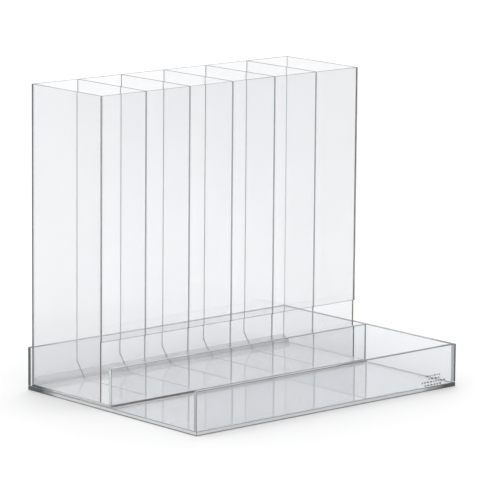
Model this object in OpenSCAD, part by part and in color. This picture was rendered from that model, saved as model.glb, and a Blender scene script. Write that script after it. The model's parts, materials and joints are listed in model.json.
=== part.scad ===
// Clear sheet dispenser for cartons: a tower of six open-topped channels that
// stands in a low tray. The lowest carton of each channel is taken out through
// the opening below the front panel and over the tray's lip.
// +X to the right, +Y to the back, +Z up. The origin is on the underside of the
// tray, at the middle of its width and depth.

/* [Channels] */
// Clear width of one channel
channel_w = 76.5; // [50:0.5:110]
// Clear depth of a channel, from the front panel to the back panel
channel_d = 149; // [90:1:200]
// Height of the tower, from its underside to its open top
tower_h = 433; // [250:1:600]
// Thickness of the tower's sheets
sheet_t = 3; // [2:0.5:6]
// Height of the opening below the front panel, above the tower's floor
window_h = 85.5; // [40:0.5:150]

/* [Kicker bar] */
// Depth of the bar that holds the lowest cartons forward
kicker_d = 11; // [6:0.5:20]
// Height of the bar at its back face
kicker_back_h = 11; // [8:0.5:20]
// Height of the bar at its front face
kicker_front_h = 6; // [3:0.5:7]
// Room above the bar under the dividers' clipped corners
clip_above = 13; // [8:0.5:30]
// Room in front of the bar under the dividers' clipped corners
clip_ahead = 7; // [5:0.5:15]

/* [Tray] */
// Thickness of the tray's sheets
tray_t = 6; // [3:0.5:10]
// Height of the tray's walls above the table
tray_h = 62; // [35:1:90]
// Clear depth of the open bay between the lip and the front wall
bay_d = 175; // [60:0.5:260]
// Gap between the lip and the tower's front
lip_gap = 18.5; // [8:0.5:40]
// Ledge of the tray's floor beside the tower, on the open left side
ledge_w = 2; // [0.5:0.5:12]
// Gap between the tower and the tray's right wall
right_gap = 0.5; // [0.5:0.5:4]
// Gap between the tower and the tray's back wall
back_gap = 1; // [0.5:0.5:4]
// Gap between the lip and the tower's floor, which runs forward to it
floor_gap = 0.5; // [0.5:0.5:4]

/* [Hidden] */

channels = 6;
pitch = channel_w + sheet_t;
tower_w = channels * pitch + sheet_t;
tower_d = channel_d + 2 * sheet_t;
wall_h = tray_h - tray_t;
panel_h = tower_h - sheet_t;

base_w = ledge_w + tower_w + right_gap + tray_t;
base_d = tray_t + bay_d + tray_t + lip_gap + tower_d + back_gap + tray_t;

// Faces that the pieces share, from left to right, front to back and bottom to top
base_left = -base_w / 2;
base_front = -base_d / 2;
right_wall_in = base_w / 2 - tray_t;
back_wall_in = base_d / 2 - tray_t;
lip_front = base_front + tray_t + bay_d;
tower_left = base_left + ledge_w;
tower_front = lip_front + tray_t + lip_gap;
channel_front = tower_front + sheet_t;
channel_back = channel_front + channel_d;
tower_floor_top = tray_t + sheet_t;

tower_tint = [0.84, 0.88, 0.91, 0.45];
tray_tint = [0.80, 0.84, 0.88, 0.45];

// One rectangular piece of sheet, given by its lower front left corner and its size
module sheet(corner, size, tint) {
    color(tint) translate(corner) cube(size);
}

module base_floor() {
    sheet([base_left, base_front, 0], [base_w, base_d, tray_t], tray_tint);
}

module base_back_wall() {
    sheet([base_left, back_wall_in, tray_t], [base_w, tray_t, wall_h], tray_tint);
}

// The right wall fits between the front wall and the back wall
module base_right_wall() {
    sheet([right_wall_in, base_front + tray_t, tray_t],
          [tray_t, base_d - 2 * tray_t, wall_h], tray_tint);
}

module base_front_wall() {
    sheet([base_left, base_front, tray_t], [base_w, tray_t, wall_h], tray_tint);
}

// Stops the cartons that slide forward, and ends at the right wall
module retaining_lip() {
    sheet([base_left, lip_front, tray_t], [base_w - tray_t, tray_t, wall_h], tray_tint);
}

// Runs from the back panel forward to the lip, so that the cartons slide on one surface
module tower_floor() {
    sheet([tower_left, lip_front + tray_t + floor_gap, tray_t],
          [tower_w, lip_gap - floor_gap + tower_d, sheet_t], tower_tint);
}

module side_panel(x) {
    sheet([x, channel_front, tower_floor_top], [sheet_t, channel_d, panel_h], tower_tint);
}

module left_side_panel() {
    side_panel(tower_left);
}

module right_side_panel() {
    side_panel(tower_left + tower_w - sheet_t);
}

module back_panel() {
    sheet([tower_left, channel_back, tower_floor_top], [tower_w, sheet_t, panel_h], tower_tint);
}

// Glued on the front edges of the side panels and dividers, clear of the pick-up opening
module front_panel() {
    sheet([tower_left, tower_front, tower_floor_top + window_h],
          [tower_w, sheet_t, panel_h - window_h], tower_tint);
}

// Upright profile in the plane of depth and height, given thickness across the width
module profile(x, width, points, tint) {
    color(tint) translate([x, 0, 0]) rotate([90, 0, 90]) linear_extrude(width) polygon(points);
}

module kicker_bar() {
    profile(tower_left + sheet_t, tower_w - 2 * sheet_t, [
        [channel_back - kicker_d, tower_floor_top],
        [channel_back, tower_floor_top],
        [channel_back, tower_floor_top + kicker_back_h],
        [channel_back - kicker_d, tower_floor_top + kicker_front_h]
    ], tower_tint);
}

// Upright sheet between two channels, with its back lower corner clipped over the kicker bar
module divider(number) {
    profile(tower_left + number * pitch, sheet_t, [
        [channel_front, tower_floor_top],
        [channel_back - kicker_d - clip_ahead, tower_floor_top],
        [channel_back, tower_floor_top + kicker_back_h + clip_above],
        [channel_back, tower_floor_top + panel_h],
        [channel_front, tower_floor_top + panel_h]
    ], tower_tint);
}

base_floor();
base_back_wall();
base_right_wall();
base_front_wall();
retaining_lip();
tower_floor();
left_side_panel();
right_side_panel();
back_panel();
front_panel();
kicker_bar();
divider(1);  // divider_1
divider(2);  // divider_2
divider(3);  // divider_3
divider(4);  // divider_4
divider(5);  // divider_5
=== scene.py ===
import json
import math
import random

import bmesh
import bpy
from mathutils import Matrix, Vector


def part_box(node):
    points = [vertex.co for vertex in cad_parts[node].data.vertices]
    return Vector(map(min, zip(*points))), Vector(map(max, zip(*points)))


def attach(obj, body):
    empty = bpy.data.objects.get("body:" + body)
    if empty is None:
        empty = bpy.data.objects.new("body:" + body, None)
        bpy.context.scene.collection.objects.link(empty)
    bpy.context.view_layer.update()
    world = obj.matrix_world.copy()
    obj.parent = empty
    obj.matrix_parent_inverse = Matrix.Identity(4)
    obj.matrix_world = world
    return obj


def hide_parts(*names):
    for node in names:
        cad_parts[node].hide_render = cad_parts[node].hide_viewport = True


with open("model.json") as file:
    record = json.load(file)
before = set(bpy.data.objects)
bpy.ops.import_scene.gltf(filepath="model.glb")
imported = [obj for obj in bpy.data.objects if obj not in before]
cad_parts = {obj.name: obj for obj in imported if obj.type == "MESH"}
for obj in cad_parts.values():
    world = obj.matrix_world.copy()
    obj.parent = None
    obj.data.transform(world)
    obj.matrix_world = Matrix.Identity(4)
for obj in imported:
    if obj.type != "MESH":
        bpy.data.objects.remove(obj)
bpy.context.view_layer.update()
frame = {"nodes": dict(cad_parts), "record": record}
print("frame loaded:", len(frame["nodes"]), "sheets")

millimetre = 0.001
draw = random.Random(11)


# Shader maths

class Value:
    # A socket that can be used in sums; each sum adds a Math node
    def __init__(self, shade, socket):
        self.shade = shade
        self.socket = socket

    def calculate(self, operation, first, second):
        return self.shade.node("ShaderNodeMath", {"operation": operation}, {0: first, 1: second})

    def __add__(self, other):
        return self.calculate("ADD", self, other)

    def __radd__(self, other):
        return self.calculate("ADD", other, self)

    def __sub__(self, other):
        return self.calculate("SUBTRACT", self, other)

    def __rsub__(self, other):
        return self.calculate("SUBTRACT", other, self)

    def __mul__(self, other):
        return self.calculate("MULTIPLY", self, other)

    def __rmul__(self, other):
        return self.calculate("MULTIPLY", other, self)

    def __truediv__(self, other):
        return self.calculate("DIVIDE", self, other)

    def __rtruediv__(self, other):
        return self.calculate("DIVIDE", other, self)


class Shade:
    # One material, or the world, and the nodes it is made of
    def __init__(self, owner):
        self.owner = owner
        self.owner.use_nodes = True
        self.tree = owner.node_tree
        self.tree.nodes.clear()

    def node(self, kind, settings, sockets, out=0):
        made = self.tree.nodes.new(kind)
        for name, setting in settings.items():
            if name == "stops":
                ramp = made.color_ramp.elements
                ramp[0].position, ramp[0].color = setting[0]
                ramp[1].position, ramp[1].color = setting[-1]
                for place, colour in setting[1:-1]:
                    ramp.new(place).color = colour
            else:
                setattr(made, name, setting)
        for name, given in sockets.items():
            if isinstance(given, Value):
                self.tree.links.new(given.socket, made.inputs[name])
            else:
                made.inputs[name].default_value = given
        return None if out is None else Value(self, made.outputs[out])

    def place(self, stretch=(1, 1, 1)):
        point = self.node("ShaderNodeTexCoord", {}, {}, "Object")
        return self.node("ShaderNodeMapping", {}, {"Vector": point, "Scale": stretch})

    def split(self, vector):
        return [self.node("ShaderNodeSeparateXYZ", {}, {0: vector}, part) for part in "XYZ"]

    def noise(self, size, detail=3.0, stretch=(1, 1, 1), fineness=0.55):
        return self.node("ShaderNodeTexNoise", {}, {
            "Vector": self.place(stretch), "Scale": 1 / size, "Detail": detail, "Roughness": fineness})

    def blend(self, share, first, second):
        return self.node("ShaderNodeMix", {"data_type": "RGBA"}, {
            "Factor": share, 6: (*first, 1), 7: (*second, 1)}, 2)

    # The last node has no socket to give back
    def finish(self, shader, output="ShaderNodeOutputMaterial"):
        self.node(output, {}, {"Surface": shader}, None)
        return self.owner


def newShade(name):
    return Shade(bpy.data.materials.new(name))


# Clear sheet

sheetLook = {
    "bend": 1.49,              # refractive index of cast acrylic
    "hazeSize": 0.09,          # m across, a wiped and slightly dusty patch
    "hazeDetail": 4.0,
    "scuffSize": 0.02,         # m across, where cartons rub
    "scuffDetail": 5.0,
    "scuffWay": (1, 0.15, 1),  # rubbed along the way the cartons slide
    "scuffTint": (0.93, 0.93, 0.93, 1),
    "scuffRoughness": 0.5,
    "scuffFilm": 0.6,          # the even film of fine scratches, against the marks in it
}

# Each kind of face: its tint in pale and deep patches, how much of the softbox's light it passes
# on, how rough its haziest patches are, and how scuffed it is. Two faces pass on more than all of
# it, in place of the light that would bend its way through to the table, which is switched off.
panelLook = {"pale": (0.935, 0.937, 0.943), "deep": (0.90, 0.903, 0.91),
             "lampShare": 0.995, "haze": 0.02, "scuff": 0.0}
# Painted shade: the side panels are the same acrylic as the front and back panels, with a deeper tint
# so that they render darker
sideShadeLook = {"pale": (0.895, 0.897, 0.904), "deep": (0.855, 0.86, 0.867),
            "lampShare": 0.995, "haze": 0.02, "scuff": 0.0}
dividerLook = {"pale": (0.99, 0.99, 0.992), "deep": (0.975, 0.977, 0.98),
               "lampShare": 0.998, "haze": 0.02, "scuff": 0.0}
slideLook = {"pale": (0.998, 0.998, 0.999), "deep": (0.99, 0.99, 0.992),
             "lampShare": 1.08, "haze": 0.06, "scuff": 0.15}
wallLook = {"pale": (0.925, 0.932, 0.945), "deep": (0.89, 0.90, 0.915),
            "lampShare": 0.985, "haze": 0.02, "scuff": 0.0}
floorLook = {"pale": (0.972, 0.982, 0.99), "deep": (0.952, 0.965, 0.977),
             "lampShare": 1.3, "haze": 0.09, "scuff": 0.0}


def letLampsThrough(shade, body, share):
    lamp = shade.node("ShaderNodeLightPath", {}, {}, "Is Shadow Ray")
    clear = shade.node("ShaderNodeBsdfTransparent", {}, {"Color": (share, share, share, 1)})
    return shade.node("ShaderNodeMixShader", {}, {0: lamp, 1: body, 2: clear})


def clearFace(name, look):
    shade = newShade(name)
    patches = shade.noise(sheetLook["hazeSize"], sheetLook["hazeDetail"])
    body = shade.node("ShaderNodeBsdfPrincipled", {}, {
        "Base Color": shade.blend(patches, look["pale"], look["deep"]),
        "Roughness": patches * look["haze"],
        "IOR": sheetLook["bend"],
        "Transmission Weight": 1.0,
    })
    if look["scuff"]:
        worn = shade.node("ShaderNodeBsdfPrincipled", {}, {
            "Base Color": sheetLook["scuffTint"], "Roughness": sheetLook["scuffRoughness"]})
        marks = shade.noise(sheetLook["scuffSize"], sheetLook["scuffDetail"], sheetLook["scuffWay"])
        cover = (marks + sheetLook["scuffFilm"]) * look["scuff"]
        body = shade.node("ShaderNodeMixShader", {}, {0: cover, 1: body, 2: worn})
    return shade.finish(letLampsThrough(shade, body, look["lampShare"]))


# Edges, corners and joints

# Painted shade: the two corners of the tray that face dark parts of the room are painted dark, and the
# tray's lowest line gets a painted contact shadow
paintedShade = {
    "start": 0.38,         # m, between a point's place across and its place from front to back
    "full": 0.42,
    "ragged": 0.02,
    "tint": (0.07, 0.075, 0.08, 1),
    # Painted contact shadow along a sheet's lowest millimetres: full below the first height, gone
    # above the second
    "contactShadowFull": 1.2 * millimetre,
    "contactShadowEnd": 1.8 * millimetre,
    "contactShadowShare": 0.9,
    "contactShadowTint": (0.13, 0.09, 0.07, 1),
}
lineRoughness = 0.25       # of every edge and joint
spotRoughness = 0.2        # and how much more in spots

cementLook = {"spotSize": 0.012, "light": (0.84, 0.92, 0.93), "dark": (0.66, 0.75, 0.77),
              "coverLow": 0.4, "coverHigh": 0.7, "paintedShadeOn": False}
backCementLook = {"spotSize": 0.012, "light": (0.40, 0.45, 0.46), "dark": (0.26, 0.30, 0.31),
                  "coverLow": 0.65, "coverHigh": 0.9, "paintedShadeOn": False}
footLook = {"spotSize": 0.012, "light": (0.80, 0.83, 0.84), "dark": (0.64, 0.68, 0.70),
            "coverLow": 0.05, "coverHigh": 0.2, "paintedShadeOn": False}
cutLook = {"spotSize": 0.03, "light": (0.80, 0.82, 0.82), "dark": (0.66, 0.70, 0.71),
           "coverLow": 0.25, "coverHigh": 0.45, "paintedShadeOn": True}
baseEdgeLook = {"spotSize": 0.03, "light": (0.82, 0.84, 0.85), "dark": (0.72, 0.745, 0.76),
                "coverLow": 0.65, "coverHigh": 0.9, "paintedShadeOn": True}
# Painted shade: a sharp corner is painted dark, standing in for the dark line a rounded acrylic edge
# shows from the light it bends
cornerShadeLook = {"spotSize": 0.05, "light": (0.17, 0.16, 0.155), "dark": (0.06, 0.055, 0.052),
              "coverLow": 0.6, "coverHigh": 0.9, "paintedShadeOn": False}
sawnLook = {"spotSize": 0.02, "light": (0.27, 0.185, 0.14), "dark": (0.12, 0.075, 0.055),
            "coverLow": 0.7, "coverHigh": 1.0, "paintedShadeOn": True}
frostLook = {"spotSize": 0.02, "light": (0.90, 0.905, 0.91), "dark": (0.80, 0.805, 0.81),
             "coverLow": 0.3, "coverHigh": 0.45, "paintedShadeOn": False}


# A line that hides part of what is behind it: cement, a sharp corner painted dark as painted shade, or
# a cut or sawn edge
def thinLine(name, look):
    shade = newShade(name)
    spots = shade.noise(look["spotSize"])
    tint = shade.blend(spots, look["light"], look["dark"])
    cover = spots * (look["coverHigh"] - look["coverLow"]) + look["coverLow"]
    # Painted shade: darker towards the two tray corners that face dark parts of the room, and a
    # painted contact shadow along the lowest millimetres
    if look["paintedShadeOn"]:
        across, along, up = shade.split(shade.place())
        ways = across - along
        reach = ways.calculate("ABSOLUTE", ways, 0) + spots * 2 * paintedShade["ragged"]
        inside = shade.node("ShaderNodeMapRange", {}, {
            "Value": reach, "From Min": paintedShade["start"], "From Max": paintedShade["full"]})
        tint = shade.node("ShaderNodeMix", {"data_type": "RGBA"}, {
            "Factor": inside, 6: tint, 7: paintedShade["tint"]}, 2)
        foot = shade.node("ShaderNodeMapRange", {}, {
            "Value": up, "From Min": paintedShade["contactShadowFull"], "From Max": paintedShade["contactShadowEnd"],
            "To Min": 1.0, "To Max": 0.0})
        tint = shade.node("ShaderNodeMix", {"data_type": "RGBA"}, {
            "Factor": foot * paintedShade["contactShadowShare"], 6: tint, 7: paintedShade["contactShadowTint"]}, 2)
        cover = cover + inside.calculate("MAXIMUM", inside, foot) * (1 - cover)
    body = shade.node("ShaderNodeBsdfPrincipled", {}, {
        "Base Color": tint, "Roughness": spots * spotRoughness + lineRoughness, "Alpha": cover})
    return shade.finish(body)


inkLook = {"wearSize": 2 * millimetre, "dark": (0.05, 0.055, 0.06), "worn": (0.11, 0.115, 0.12),
           "roughness": 0.45, "wornRoughness": 0.2}


def printInk(name):
    shade = newShade(name)
    wear = shade.noise(inkLook["wearSize"])
    body = shade.node("ShaderNodeBsdfPrincipled", {}, {
        "Base Color": shade.blend(wear, inkLook["dark"], inkLook["worn"]),
        "Roughness": wear * inkLook["wornRoughness"] + inkLook["roughness"],
    })
    return shade.finish(body)


panelFace = clearFace("tower panel face", panelLook)
shadedSideFace = clearFace("tower side face", sideShadeLook)
dividerFace = clearFace("divider face", dividerLook)
slideFace = clearFace("tower floor face", slideLook)
wallFace = clearFace("tray wall face", wallLook)
floorFace = clearFace("tray floor face", floorLook)
cutEdge = thinLine("polished cut edge", cutLook)
baseEdge = thinLine("tray floor edge", baseEdgeLook)
cementLine = thinLine("cement line", cementLook)
backCement = thinLine("cement line at the back", backCementLook)
footLine = thinLine("cement under a foot", footLook)
shadedCorner = thinLine("sharp corner", cornerShadeLook)
sawnEnd = thinLine("sawn end", sawnLook)
frostedBar = thinLine("frosted bar", frostLook)
labelInk = printInk("label ink")
print("materials made")


# Sheets

cutting = {
    "seam": 0.05 * millimetre,       # air left all round a sheet where it meets another
    "edgeRound": {"tray": 0.55 * millimetre, "tower": 0.3 * millimetre},  # taken off every corner
    "roundSteps": 2,
    "reach": 0.9 * millimetre,       # a cut edge this near another sheet is cemented to it
    "mergeWithin": 0.01 * millimetre,
    "flatWithin": math.radians(1),   # faces that meet at less than this are one flat side
}
square = 0.99   # a side points along an axis when its normal's part is more than this
leaning = 0.1   # and leans towards it at all when it is more than this


def takeSheet(node):
    # The CAD node's shape as one clean solid with whole flat sides
    shape = bmesh.new()
    shape.from_mesh(frame["nodes"][node].data)
    bmesh.ops.remove_doubles(shape, verts=shape.verts, dist=cutting["mergeWithin"])
    bmesh.ops.dissolve_limit(shape, angle_limit=cutting["flatWithin"], verts=shape.verts,
                             edges=shape.edges)
    return shape


bodies = frame["record"]["behaviour"]["bodies"]
boxes = {node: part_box(node) for node in frame["nodes"]}


def meetsNeighbour(node, point):
    # Whether another sheet that this one is cemented to lies at this point
    mates = next(nodes for nodes in bodies.values() if node in nodes)
    for other in mates:
        low, high = boxes[other]
        if other != node and all(low[axis] < point[axis] < high[axis] for axis in range(3)):
            return True
    return False


# Ends with a finish of their own: the piece, the axis, which way it faces, and the finish
ownEnds = [("tower_floor", 1, -1, sawnEnd), ("left_side_panel", 1, -1, sawnEnd),
           ("right_side_panel", 1, -1, sawnEnd), ("base_front_wall", 0, 1, sawnEnd),
           ("base_front_wall", 0, -1, backCement), ("retaining_lip", 0, -1, cutEdge),
           ("base_floor", 0, -1, baseEdge), ("base_floor", 0, 1, baseEdge),
           ("base_floor", 1, -1, baseEdge), ("base_floor", 1, 1, baseEdge),
           ("retaining_lip", 0, 1, sawnEnd), ("base_back_wall", 0, -1, sawnEnd),
           ("front_panel", 2, -1, sawnEnd), ("retaining_lip", 2, 1, cementLine)]


def finishOf(node, side, thin, face):
    # What a side of the sheet looks like: face, cut edge, cement or corner
    normal = side.normal
    for name, axis, way, finish in ownEnds:
        if node == name and normal[axis] * way > square:
            return finish
    if abs(normal[thin]) > square:
        return face
    middle = side.calc_center_median()
    for axis in range(3):
        step = Vector((0, 0, 0))
        step[axis] = math.copysign(cutting["reach"], normal[axis])
        if axis != thin and abs(normal[axis]) > leaning and meetsNeighbour(node, middle + step):
            if axis == 2:
                return footLine
            return backCement if node.startswith("divider") and step.y > 0 else cementLine
    # A sharp corner gets the dark painted shade
    return cutEdge if max(abs(part) for part in normal) > square else shadedCorner


def polishSheet(node, body, face):
    low, high = boxes[node]
    size = high - low
    thin = min(range(3), key=lambda axis: size[axis])
    shape = takeSheet(node)
    shrink = Vector([1 - 2 * cutting["seam"] / length for length in size])
    middle = (low + high) / 2
    bmesh.ops.scale(shape, vec=shrink, verts=shape.verts, space=Matrix.Translation(-middle))
    bmesh.ops.bevel(shape, geom=shape.edges[:], offset=cutting["edgeRound"][body],
                    segments=cutting["roundSteps"], profile=0.5, affect="EDGES", material=-1)
    finishes = [face]
    for side in shape.faces:
        side.smooth = False
        finish = finishOf(node, side, thin, face)
        if finish not in finishes:
            finishes.append(finish)
        side.material_index = finishes.index(finish)
    mesh = bpy.data.meshes.new(node + "_polished")
    shape.to_mesh(mesh)
    shape.free()
    for material in finishes:
        mesh.materials.append(material)
    piece = bpy.data.objects.new(node + "_polished", mesh)
    bpy.context.scene.collection.objects.link(piece)
    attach(piece, body)
    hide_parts(node)


def faceFor(node):
    if node == "kicker_bar":
        return frostedBar
    if node == "tower_floor":
        return slideFace
    if node.startswith("divider"):
        return dividerFace
    if node == "base_floor":
        return floorFace
    # The side panels take the deeper tint, painted shade
    if node.endswith("side_panel"):
        return shadedSideFace
    return wallFace if node in bodies["tray"] else panelFace


for node in bodies["tray"]:
    polishSheet(node, "tray", faceFor(node))
for node in bodies["tower"]:
    polishSheet(node, "tower", faceFor(node))
print("sheets polished")


# Generic printed lines on the front wall

label = {
    "fromRight": 19 * millimetre,    # right end of the print to the wall's right end
    "fromBottom": 2.6 * millimetre,  # lowest line to the wall's foot
    "width": 48 * millimetre,
    "rowStep": 4.5 * millimetre,
    "rowHeight": 1.8 * millimetre,
    "wordLengths": (0.9, 2.6),             # shortest and longest word, against the row's height
    "rowShares": [0.76, 1.0, 0.44, 0.62],  # length of each row, from the lowest up
    "wordGap": 2.4 * millimetre,
    "inkDepth": 0.03 * millimetre,
}


def printLabel():
    low, high = boxes["base_front_wall"]
    centre = high.x - label["fromRight"] - label["width"] / 2
    depth = low.y + cutting["seam"] - label["inkDepth"] / 2
    shape = bmesh.new()
    for row, share in enumerate(label["rowShares"]):
        length = label["width"] * share
        x = centre - length / 2
        end = centre + length / 2
        height = low.z + label["fromBottom"] + row * label["rowStep"]
        while x < end - label["rowHeight"]:
            word = min(draw.uniform(*label["wordLengths"]) * label["rowHeight"], end - x)
            size = Matrix.Diagonal((word, label["inkDepth"], label["rowHeight"], 1))
            spot = Matrix.Translation((x + word / 2, depth, height))
            bmesh.ops.create_cube(shape, size=1, matrix=spot @ size)
            x += word + label["wordGap"]
    mesh = bpy.data.meshes.new("label_print")
    shape.to_mesh(mesh)
    shape.free()
    mesh.materials.append(labelInk)
    piece = bpy.data.objects.new("label_print", mesh)
    bpy.context.scene.collection.objects.link(piece)
    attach(piece, "tray")


printLabel()
print("label printed")


# Studio

studio = {
    "floorHalf": 14.0,
    "floorPale": (0.93, 0.93, 0.93),
    "floorDeep": (0.91, 0.91, 0.91),
    "floorPatch": 1.5,   # m across
    "floorRoughness": 0.7,
    "floorShine": 0.2,
    "brightWay": (0.66, 0.75, 0.0),   # towards the pale backdrop, behind the object
    # Brightness all round, from the side facing the backdrop to the backdrop itself
    "airStops": [(0.0, (0.46, 0.46, 0.465, 1)), (0.5, (0.44, 0.44, 0.445, 1)),
                 (0.85, (0.62, 0.62, 0.63, 1)), (1.0, (1.2, 1.21, 1.23, 1))],
    "boxBehind": 2.0,    # how far behind the object the softbox's middle hangs
    "boxAside": -0.95,   # and how far to the right, so it hangs to the left
    "boxHeight": 1.0,
    "boxSize": (5.3, 9.0),
    "boxGlow": 0.785,    # brightness of the softbox's face
}


def layFloor():
    shape = bmesh.new()
    bmesh.ops.create_grid(shape, x_segments=1, y_segments=1, size=studio["floorHalf"])
    mesh = bpy.data.meshes.new("floor")
    shape.to_mesh(mesh)
    shape.free()
    shade = newShade("floor paint")
    body = shade.node("ShaderNodeBsdfPrincipled", {}, {
        "Base Color": shade.blend(shade.noise(studio["floorPatch"], 2.0),
                                  studio["floorPale"], studio["floorDeep"]),
        "Roughness": studio["floorRoughness"],
        "Specular IOR Level": studio["floorShine"],
    })
    mesh.materials.append(shade.finish(body))
    floor = bpy.data.objects.new("floor", mesh)
    bpy.context.scene.collection.objects.link(floor)


def hangLights():
    world = bpy.data.worlds.new("studio air")
    bpy.context.scene.world = world
    shade = Shade(world)
    way = shade.node("ShaderNodeTexCoord", {}, {}, "Generated")
    behind = shade.node("ShaderNodeVectorMath", {"operation": "DOT_PRODUCT"}, {
        0: way, 1: studio["brightWay"]}, "Value")
    air = shade.node("ShaderNodeValToRGB", {"stops": studio["airStops"]}, {
        "Fac": behind * 0.5 + 0.5})
    glow = shade.node("ShaderNodeBackground", {}, {"Color": air, "Strength": 1.0})
    shade.finish(glow, "ShaderNodeOutputWorld")
    lamp = bpy.data.lights.new("softbox", "AREA")
    lamp.shape = "RECTANGLE"
    lamp.size, lamp.size_y = studio["boxSize"]
    lamp.energy = studio["boxGlow"] * math.pi * lamp.size * lamp.size_y
    softbox = bpy.data.objects.new("softbox", lamp)
    along = Vector(studio["brightWay"]).normalized()
    aside = along.cross(Vector((0, 0, 1)))
    up = Vector((0, 0, studio["boxHeight"]))
    softbox.location = along * studio["boxBehind"] + aside * studio["boxAside"] + up
    softbox.rotation_euler.z = math.atan2(along.y, along.x) - math.pi / 2
    softbox.visible_camera = False
    softbox.visible_glossy = False        # its light comes through the sheets straight, not bent,
    softbox.visible_transmission = False  # so that none is counted twice
    bpy.context.scene.collection.objects.link(softbox)


view = {
    "lens": 275.9,        # mm, on a 36 mm wide sensor
    "sensor": 36,
    "farthest": 60,
    "place": (-3.389137, -3.840489, 1.157964),
    "turn": 41.366,       # degrees to the right of +Y
    "tilt": 10.438,       # degrees below level
    "roll": 0.483,
}


def setCamera():
    camera = bpy.data.cameras.new("camera")
    camera.lens = view["lens"]
    camera.sensor_width = view["sensor"]
    camera.clip_end = view["farthest"]
    eye = bpy.data.objects.new("camera", camera)
    eye.location = view["place"]
    turn, tilt, roll = (math.radians(view[k]) for k in ("turn", "tilt", "roll"))
    eye.rotation_mode = "QUATERNION"
    level = Matrix.Rotation(-turn, 4, "Z") @ Matrix.Rotation(math.pi / 2 - tilt, 4, "X")
    eye.rotation_quaternion = (level @ Matrix.Rotation(roll, 4, "Z")).to_quaternion()
    bpy.context.scene.collection.objects.link(eye)
    bpy.context.scene.camera = eye


# How often light is followed. Light that enters a sheet by its edge turns back inside it dozens
# of times.
bounces = {"all": 96, "insideSheets": 64, "alongLines": 40, "offFloor": 4, "brightest": 6}


def setScene():
    scene = bpy.context.scene
    scene.view_settings.view_transform = "Standard"
    scene.cycles.max_bounces = bounces["all"]
    scene.cycles.transmission_bounces = bounces["insideSheets"]
    scene.cycles.glossy_bounces = bounces["insideSheets"]
    scene.cycles.transparent_max_bounces = bounces["alongLines"]
    scene.cycles.diffuse_bounces = bounces["offFloor"]
    scene.cycles.sample_clamp_indirect = bounces["brightest"]
    scene.cycles.use_denoising = True


layFloor()
hangLights()
setCamera()
setScene()
print("studio set")
